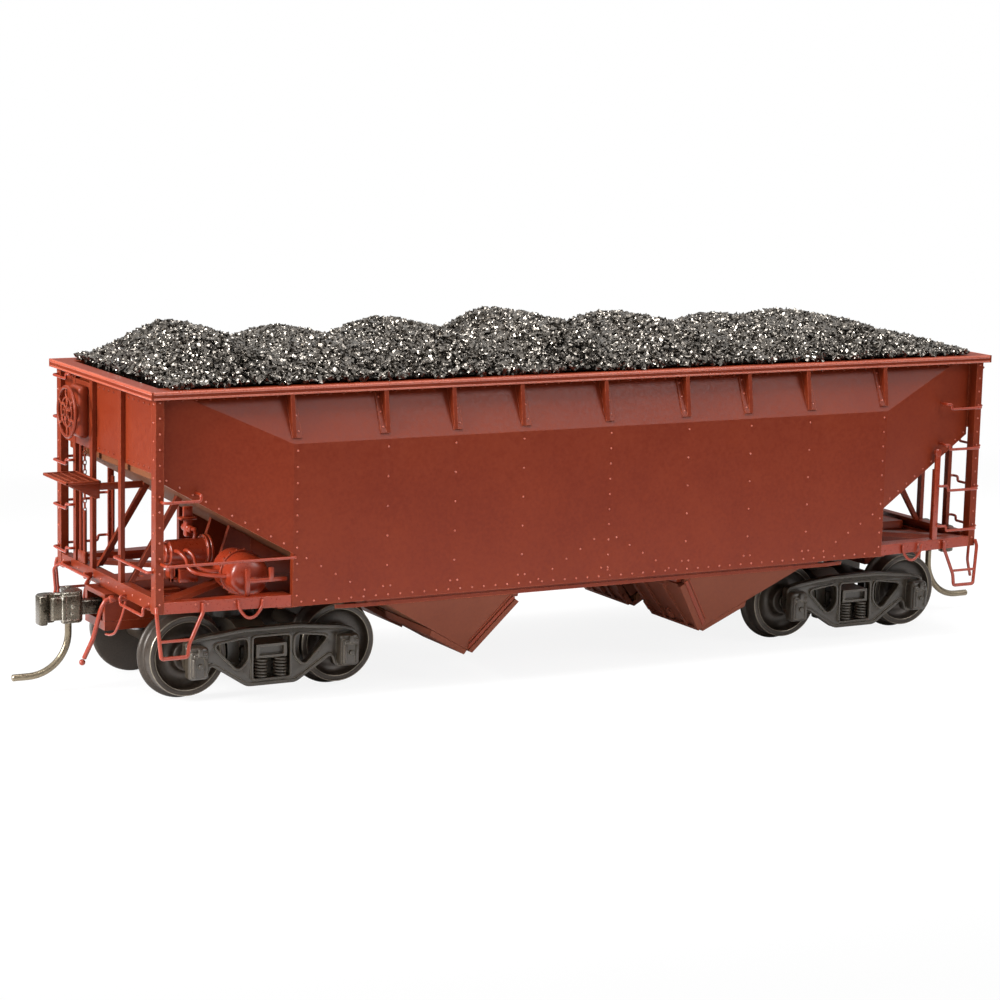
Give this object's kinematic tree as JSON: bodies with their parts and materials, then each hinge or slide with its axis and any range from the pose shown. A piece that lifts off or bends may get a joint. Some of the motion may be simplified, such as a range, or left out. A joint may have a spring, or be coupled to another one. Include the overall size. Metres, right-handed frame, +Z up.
{
  "type": "model hopper car",
  "caption": "Scale model railway hopper car with sloped ends, drop-bottom hoppers, swivelling trucks, sprung knuckle couplers and a lift-out coal load.",
  "frame": {"origin": "centre of the car's footprint at the wheel flange bottoms", "axes": "+X along the car to the end without the hand brake, +Y to the left side seen facing the hand brake end, +Z up"},
  "size_m": [0.1398, 0.0364, 0.044],
  "materials": {
    "body_red": "satin oxide red",
    "coal": "glossy lumps",
    "truck_plastic": "satin dark grey brown",
    "truck_steel": "satin dark",
    "wheel_metal": "satin dark",
    "coupler_metal": "satin grey",
    "pin_steel": "satin",
    "steel": "plain"
  },
  "bodies": {
    "car_body": {"right_side_panel": "body_red", "left_side_panel": "body_red", "end_panel_a": "body_red", "end_panel_b": "body_red", "slope_sheet_a": "body_red", "slope_sheet_b": "body_red", "cross_ridge": "body_red", "cross_ties": "body_red", "centre_sill": "body_red", "body_bolsters": "body_red", "side_sills": "body_red", "end_sills": "body_red", "end_posts_a": "body_red", "end_posts_b": "body_red", "end_braces": "body_red", "hopper_chutes": "body_red", "hopper_doors": "body_red", "ladders": "body_red", "grab_irons": "body_red", "sill_steps": "body_red", "tow_loops": "body_red", "brake_cylinder": "body_red", "air_reservoir": "body_red", "control_valve": "body_red", "air_pipes": "body_red", "brake_housing": "body_red", "brake_platform": "body_red", "hand_brake_rod": "body_red", "uncoupling_levers": "body_red", "air_hoses": "body_red", "coupler_boxes": "body_red", "coupler_lids": "body_red", "ballast_bar": "steel", "coupler_screws": "steel", "truck_screws": "steel"},
    "coal_load": {"coal_load": "coal"},
    "brake_wheel": {"brake_wheel": "body_red"},
    "truck_a": {"truck_bolster_a": "truck_plastic", "sideframes_a": "truck_plastic", "truck_springs_a": "truck_steel", "brake_beams_a": "truck_plastic"},
    "wheelset_a1": {"axle_a1": "steel", "wheels_a1": "wheel_metal"},
    "wheelset_a2": {"axle_a2": "steel", "wheels_a2": "wheel_metal"},
    "coupler_a": {"coupler_a": "coupler_metal"},
    "knuckle_a": {"knuckle_a": "coupler_metal", "trip_pin_a": "pin_steel"},
    "truck_b": {"truck_bolster_b": "truck_plastic", "sideframes_b": "truck_plastic", "truck_springs_b": "truck_steel", "brake_beams_b": "truck_plastic"},
    "wheelset_b1": {"axle_b1": "steel", "wheels_b1": "wheel_metal"},
    "wheelset_b2": {"axle_b2": "steel", "wheels_b2": "wheel_metal"},
    "coupler_b": {"coupler_b": "coupler_metal"},
    "knuckle_b": {"knuckle_b": "coupler_metal", "trip_pin_b": "pin_steel"}
  },
  "joints": [
    {"name": "truck_a_swivel", "type": "hinge", "parent": "car_body", "child": "truck_a", "pos_m": [0.04243, 0, 0.0089], "axis": [0, 0, 1], "range_deg": [-10, 10]},
    {"name": "wheelset_a1_roll", "type": "hinge", "parent": "truck_a", "child": "wheelset_a1", "pos_m": [0.05218, 0, 0.00545], "axis": [0, 1, 0], "continuous": true},
    {"name": "wheelset_a2_roll", "type": "hinge", "parent": "truck_a", "child": "wheelset_a2", "pos_m": [0.03268, 0, 0.00545], "axis": [0, 1, 0], "continuous": true},
    {"name": "coupler_a_swing", "type": "hinge", "parent": "car_body", "child": "coupler_a", "pos_m": [0.0545, 0, 0.0103], "axis": [0, 0, 1], "range_deg": [-8, 8], "stiffness_Nm_per_rad": 0.0005},
    {"name": "knuckle_a_open", "type": "hinge", "parent": "coupler_a", "child": "knuckle_a", "pos_m": [0.0629, -0.00125, 0.0103], "axis": [0, 0, -1], "range_deg": [0, 20], "stiffness_Nm_per_rad": 0.0002},
    {"name": "truck_b_swivel", "type": "hinge", "parent": "car_body", "child": "truck_b", "pos_m": [-0.04243, 0, 0.0089], "axis": [0, 0, 1], "range_deg": [-10, 10]},
    {"name": "wheelset_b1_roll", "type": "hinge", "parent": "truck_b", "child": "wheelset_b1", "pos_m": [-0.05218, 0, 0.00545], "axis": [0, 1, 0], "continuous": true},
    {"name": "wheelset_b2_roll", "type": "hinge", "parent": "truck_b", "child": "wheelset_b2", "pos_m": [-0.03268, 0, 0.00545], "axis": [0, 1, 0], "continuous": true},
    {"name": "coupler_b_swing", "type": "hinge", "parent": "car_body", "child": "coupler_b", "pos_m": [-0.0545, 0, 0.0103], "axis": [0, 0, 1], "range_deg": [-8, 8], "stiffness_Nm_per_rad": 0.0005},
    {"name": "knuckle_b_open", "type": "hinge", "parent": "coupler_b", "child": "knuckle_b", "pos_m": [-0.0629, 0.00125, 0.0103], "axis": [0, 0, -1], "range_deg": [0, 20], "stiffness_Nm_per_rad": 0.0002},
    {"name": "coal_load_lift", "type": "slide", "parent": "car_body", "child": "coal_load", "axis": [0, 0, 1], "range_m": [0, 0.03]},
    {"name": "brake_wheel_turn", "type": "hinge", "parent": "car_body", "child": "brake_wheel", "pos_m": [-0.061, 0.0067, 0.0327], "axis": [1, 0, 0], "continuous": true}
  ]
}
